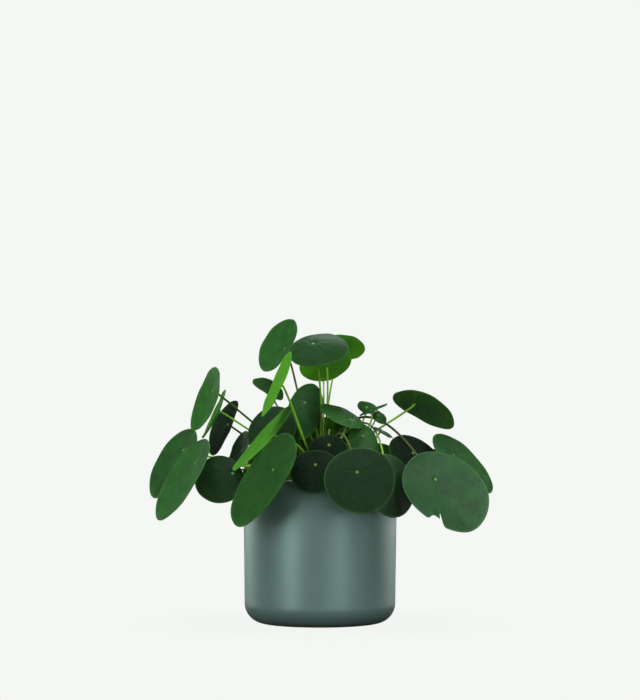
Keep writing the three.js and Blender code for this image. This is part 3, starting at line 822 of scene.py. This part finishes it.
class PILEA_OT_studio(Operator):
    """Lay the floor, light it and set up the camera"""
    bl_idname = "pilea.studio"
    bl_label = "Studio"

    def execute(self, context):
        look = context.scene.pilea_studio
        self.floor(look)
        self.world(look)
        for name, setting, place, target, size in LAMPS:
            lamp = bpy.data.lights.new(name, "AREA")
            lamp.shape = "RECTANGLE"
            lamp.size, lamp.size_y = size
            lamp.energy = getattr(look, setting)
            lamp.color = COOL_WHITE
            self.stand(name, lamp, place, target)
        camera = bpy.data.cameras.new("studio_camera")
        camera.lens = look.lens
        camera.clip_start = 0.01
        context.scene.camera = self.stand("studio_camera", camera, look.eye, look.aim)
        context.scene.view_settings.view_transform = "Standard"
        return {"FINISHED"}

    @staticmethod
    def stand(name, what, place, target):
        """Stands a lamp or the camera in its place, turned towards its target."""
        thing = new_object(name, what)
        thing.location = place
        thing.rotation_euler = (Vector(target) - Vector(place)).to_track_quat("-Z", "Y").to_euler()
        return thing

    @staticmethod
    def floor(look):
        """A flat disc: rings (r cos a, r sin a) at growing radius r, so that it runs out of sight. What is
        seen of it is the backdrop's colour, but for a faint shadow round the pot."""
        radius = np.array(FLOOR_RADII)[:, None]
        angle = np.linspace(0, 2 * np.pi, FLOOR_LINES, endpoint=False)
        rings = np.stack([radius * np.cos(angle), radius * np.sin(angle), 0 * radius * angle], -1)
        quads = skin_faces(len(radius), FLOOR_LINES)[1] - 1
        mesh = bpy.data.meshes.new("floor")
        mesh.from_pydata(rings.reshape(-1, 3).tolist(), [], quads.tolist() + [list(range(FLOOR_LINES))])
        mesh.update()
        disc = new_object("floor", mesh)
        graph = new_material("pale_floor", Base_Color=FLOOR_COLOUR, Roughness=0.9)
        far = graph.add("ShaderNodeVectorMath", {"operation": "LENGTH"})
        graph.fill(far, graph.object_place())
        glow = graph.add("ShaderNodeEmission", Color=look.backdrop, Strength=1)
        share = graph.between(far.outputs["Value"], *FLOOR_SHADE)
        seen = graph.add("ShaderNodeLightPath").outputs["Is Camera Ray"]
        both = graph.fill(graph.add("ShaderNodeMixShader"), graph.times(share, seen),
                          graph.shader.outputs[0], glow.outputs[0])
        graph.put(graph.out.inputs["Surface"], both)
        mesh.materials.append(graph.material)

    @staticmethod
    def world(look):
        """White where the camera looks, brighter behind the plant and dimmer beside it for what it lights."""
        world = bpy.data.worlds.new("studio_white")
        world.use_nodes = True
        bpy.context.scene.world = world
        graph = Graph(world.node_tree)
        way = graph.add("ShaderNodeTexCoord").outputs["Generated"]
        x, y, z = graph.add("ShaderNodeSeparateXYZ", Vector=way).outputs
        room = graph.between(y, -1, 0.5, 0.34, 0.08)
        behind = graph.between(y, 0, 0.8, 0, 6)
        low = graph.between(z, 0.16, 0.04)
        aside = graph.between(graph.maths("ABSOLUTE", x), 0.3, 0.6)
        above = graph.between(z, 0.6, 1, 0, 0.5)
        level = graph.plus(room, graph.plus(above, graph.times(graph.times(behind, aside), low)))
        seen = graph.add("ShaderNodeLightPath").outputs["Is Camera Ray"]
        soft = graph.add("ShaderNodeBackground", Color=WHITE, Strength=level)
        plain = graph.add("ShaderNodeBackground", Color=look.backdrop, Strength=1)
        both = graph.fill(graph.add("ShaderNodeMixShader"), seen, soft.outputs[0], plain.outputs[0])
        graph.add("ShaderNodeOutputWorld", Surface=both)


class PILEA_OT_pot(Operator):
    """Turn the glazed pot"""
    bl_idname = "pilea.pot"
    bl_label = "Pot"

    def execute(self, context):
        look = context.scene.pilea_pot
        rim_foot = POT_HEIGHT - RIM_ROUND
        inner_foot = POT_FOOT_RADIUS - POT_WALL
        inner_corner = POT_CORNER - POT_WALL
        inner_rim = POT_RADIUS - POT_WALL + RIM_ROUND
        foot = np.linspace(0, POT_FOOT_RADIUS - POT_CORNER, FOOT_ROWS)[:-1]
        wall = np.linspace(POT_CORNER, rim_foot, WALL_ROWS)[1:-1]
        lean = (POT_RADIUS - POT_FOOT_RADIUS) / (rim_foot - POT_CORNER)
        inside = np.linspace(rim_foot, POT_FLOOR + inner_corner, WALL_ROWS)[1:-1]
        floor = np.linspace(inner_foot - inner_corner, 0, FLOOR_ROWS)[1:]
        # from the foot's middle out, round the corner, up the wall, over the rim, down inside and back in
        profile = np.concatenate([
            np.stack([foot, 0 * foot], 1),
            arc((POT_FOOT_RADIUS - POT_CORNER, POT_CORNER), POT_CORNER, -90, 0, CORNER_ROWS),
            np.stack([POT_FOOT_RADIUS + lean * (wall - POT_CORNER), wall], 1),
            arc((POT_RADIUS - RIM_ROUND, rim_foot), RIM_ROUND, 0, 90, RIM_ROWS),
            arc((inner_rim, rim_foot), RIM_ROUND, 90, 180, RIM_ROWS),
            np.stack([inner_foot + lean * (inside - POT_CORNER), inside], 1),
            arc((inner_foot - inner_corner, POT_FLOOR + inner_corner), inner_corner, 0, -90,
                INNER_CORNER_ROWS),
            np.stack([floor, 0 * floor + POT_FLOOR], 1),
        ])

        def handmade(rows):
            """The wall wanders in by up to a quarter of a millimetre, as thrown and dipped clay does."""
            return drawn_in(rows, POT_WANDER * soft_share(rows, POT_WANDER_PITCH, POT_SEED), POT_RADIUS)

        shell = (*turned(profile, look.lines, handmade), {}, 0)
        piece("glazed_pot", [shell], glaze_material(look), "pot")
        return {"FINISHED"}


class PILEA_OT_soil(Operator):
    """Fill the pot with soil"""
    bl_idname = "pilea.soil"
    bl_label = "Soil"

    def execute(self, context):
        look = context.scene.pilea_soil
        inner = POT_FOOT_RADIUS - POT_WALL - GAP
        corner = POT_CORNER - POT_WALL
        share = (SOIL_EDGE - POT_FLOOR - corner) / (POT_HEIGHT - POT_FLOOR - corner)
        edge = inner + (POT_RADIUS - POT_FOOT_RADIUS) * share
        hole = STEM_RADIUS + GAP
        top = np.linspace(edge, hole, SOIL_ROWS)
        low = POT_FLOOR + GAP
        # from the middle below out, round the corner, up the side, over the mound and down the stem's hole
        profile = np.concatenate([
            [[0, low]],
            arc((inner - corner, low + corner), corner, -90, 0, SOIL_CORNER_ROWS),
            [[edge, SOIL_SIDE_TOP]],
            np.stack([top, self.mound(top, edge)], 1),
            [[hole, STEM_FOOT - GAP], [0, STEM_FOOT - GAP]],
        ])

        def lumpy(rows):
            """Three sizes of lumps, mostly sunk from the mound, that fade out at the wall and the stem."""
            radius = np.hypot(rows[..., 0], rows[..., 1])
            flat = rows * (1, 1, 0)
            rough = sum(part * waves(flat, pitch, seed) for part, pitch, seed in SOIL_LUMPS)
            on_top = rows[..., 2] > SOIL_SIDE_TOP
            fade = np.clip((edge - radius) / LUMPS_FROM_WALL, 0, 1)
            fade *= np.clip((radius - hole) / LUMPS_FROM_STEM + LUMPS_AT_STEM, 0, 1)
            drop = look.lump / MM * np.clip(rough - LUMP_LEVEL, *LUMP_RANGE) * fade * on_top
            return rows + drop[..., None] * (0, 0, 1)

        shells = [(*turned(profile, SOIL_LINES, lumpy), {}, 0), self.crumbs(look.crumbs, edge, hole)]
        piece("potting_soil", shells, soil_material(look), "soil")
        return {"FINISHED"}

    @staticmethod
    def mound(radius, edge):
        """Height of the mound: edge + (crown - edge)(1 - (r/R)^2)."""
        return SOIL_EDGE + (SOIL_CROWN - SOIL_EDGE) * (1 - (radius / edge) ** 2)

    def crumbs(self, count, edge, hole):
        """Loose crumbs: small eight-sided lumps scattered evenly over the mound, some of them pale grains."""
        draw = np.random.default_rng(CRUMB_SEED)
        radius = np.sqrt(draw.uniform((hole + CRUMB_MARGIN) ** 2, (edge - CRUMB_MARGIN) ** 2, count))
        turn = draw.uniform(0, 2 * np.pi, count)
        size = draw.uniform(*CRUMB_SIZES, count)
        height = self.mound(radius, edge) - CRUMB_SINKS
        centre = np.stack([radius * np.cos(turn), radius * np.sin(turn), height], 1)
        corners = np.array([[1, 0, 0], [-1, 0, 0], [0, 1, 0], [0, -1, 0], [0, 0, 1], [0, 0, -1]], float)
        faces = np.array([[0, 2, 4], [2, 1, 4], [1, 3, 4], [3, 0, 4],
                          [2, 0, 5], [1, 2, 5], [3, 1, 5], [0, 3, 5]])
        shape = corners * draw.uniform(*CRUMB_STRETCH, (count, 6, 1)) * size[:, None, None]
        x, y, z = np.moveaxis(shape, -1, 0)
        spin = draw.uniform(0, 2 * np.pi, count)
        cos, sin = np.cos(spin)[:, None], np.sin(spin)[:, None]
        shape = np.stack([x * cos - y * sin, x * sin + y * cos, z], -1)
        points = (centre[:, None] + shape).reshape(-1, 3)
        block = (faces + 6 * np.arange(count)[:, None, None]).reshape(-1, 3)
        pale = np.repeat(draw.uniform(size=count) < PALE_GRAINS, 6).astype(float)
        return points, [block], {"grain": pale}, 0


class PILEA_OT_stem(Operator):
    """Grow the woody stem"""
    bl_idname = "pilea.stem"
    bl_label = "Stem"

    def execute(self, context):
        look = context.scene.pilea_soil
        height = np.linspace(STEM_FOOT, STEM_TOP - STEM_RADIUS, STEM_ROWS)
        tip = arc((0, STEM_TOP - STEM_RADIUS), STEM_RADIUS, 0, 90, STEM_TIP_ROWS)[1:-1]
        profile = np.concatenate([
            [[0, STEM_FOOT]], np.stack([0 * height + STEM_RADIUS, height], 1), tip, [[0, STEM_TOP]]])

        def scarred(rows):
            """Drawn in at the leaf scars, and roughened by cracks."""
            rough = soft_share(rows * (1, 1, BARK_STRETCH), BARK_PITCH, BARK_SEED)
            return drawn_in(rows, SCAR_DEPTH * self.scars(rows) + BARK_DEPTH * rough, STEM_RADIUS)

        points, faces = turned(profile, STEM_LINES, scarred)
        bud = np.clip((points[:, 2] - BUD_START) / BUD_FADE, 0, 1)
        shell = (points, faces, {"scar": self.scars(points), "bud": bud}, 0)
        piece("woody_stem", [shell], bark_material(look), "stem")
        return {"FINISHED"}

    @staticmethod
    def scars(points):
        """Rings that climb as they go round, as a share: (1/2 + cos(2 pi z/pitch + a)/2)^6."""
        turn = np.arctan2(points[..., 1], points[..., 0])
        return (0.5 + 0.5 * np.cos(2 * np.pi * points[..., 2] / SCAR_PITCH + turn)) ** 6


class PILEA_OT_leaves(Operator):
    """Grow every leaf, blade and stalk in one piece"""
    bl_idname = "pilea.leaves"
    bl_label = "Leaves"

    def execute(self, context):
        look = context.scene.pilea_leaf
        made = {}
        for index, row in enumerate(LEAVES):
            name, finish = "leaf_%02d" % row[0], row[8]
            if finish not in made:
                made[finish] = leaf_material(look, "leaf_green_%02d" % (len(made) + 1), finish)
            blade = blade_skin(row, index + FIRST_RIPPLE, look.sway / MM, look.vein_depth / MM)
            piece("pilea_" + name, [blade, stalk_skin(row)], made[finish], name)
        return {"FINISHED"}


class PILEA_PT_panel(Panel):
    """Lists the pieces in the order they are made"""
    bl_idname = "PILEA_PT_panel"
    bl_label = "Potted pilea"
    bl_space_type = "VIEW_3D"
    bl_region_type = "UI"
    bl_category = "Pilea"

    def draw(self, context):
        for operator in STEPS:
            self.layout.operator(operator.bl_idname)


STEPS = (PILEA_OT_studio, PILEA_OT_pot, PILEA_OT_soil, PILEA_OT_stem, PILEA_OT_leaves)
LOOKS = {"pilea_pot": PotLook, "pilea_soil": SoilLook, "pilea_leaf": LeafLook, "pilea_studio": StudioLook}
CLASSES = (*LOOKS.values(), *STEPS, PILEA_PT_panel)


def register():
    for made in CLASSES:
        bpy.utils.register_class(made)
    for name, look in LOOKS.items():
        setattr(bpy.types.Scene, name, PointerProperty(type=look))


def unregister():
    for name in LOOKS:
        delattr(bpy.types.Scene, name)
    for made in reversed(CLASSES):
        bpy.utils.unregister_class(made)


def main():
    register()
    GROUPS.update(mottle=mottle_effect(), specks=speck_effect(), veins=net_effect())
    for step in STEPS:
        area, verb = step.bl_idname.split(".")
        getattr(getattr(bpy.ops, area), verb)()
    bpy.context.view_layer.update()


if __name__ == "__main__":
    main()
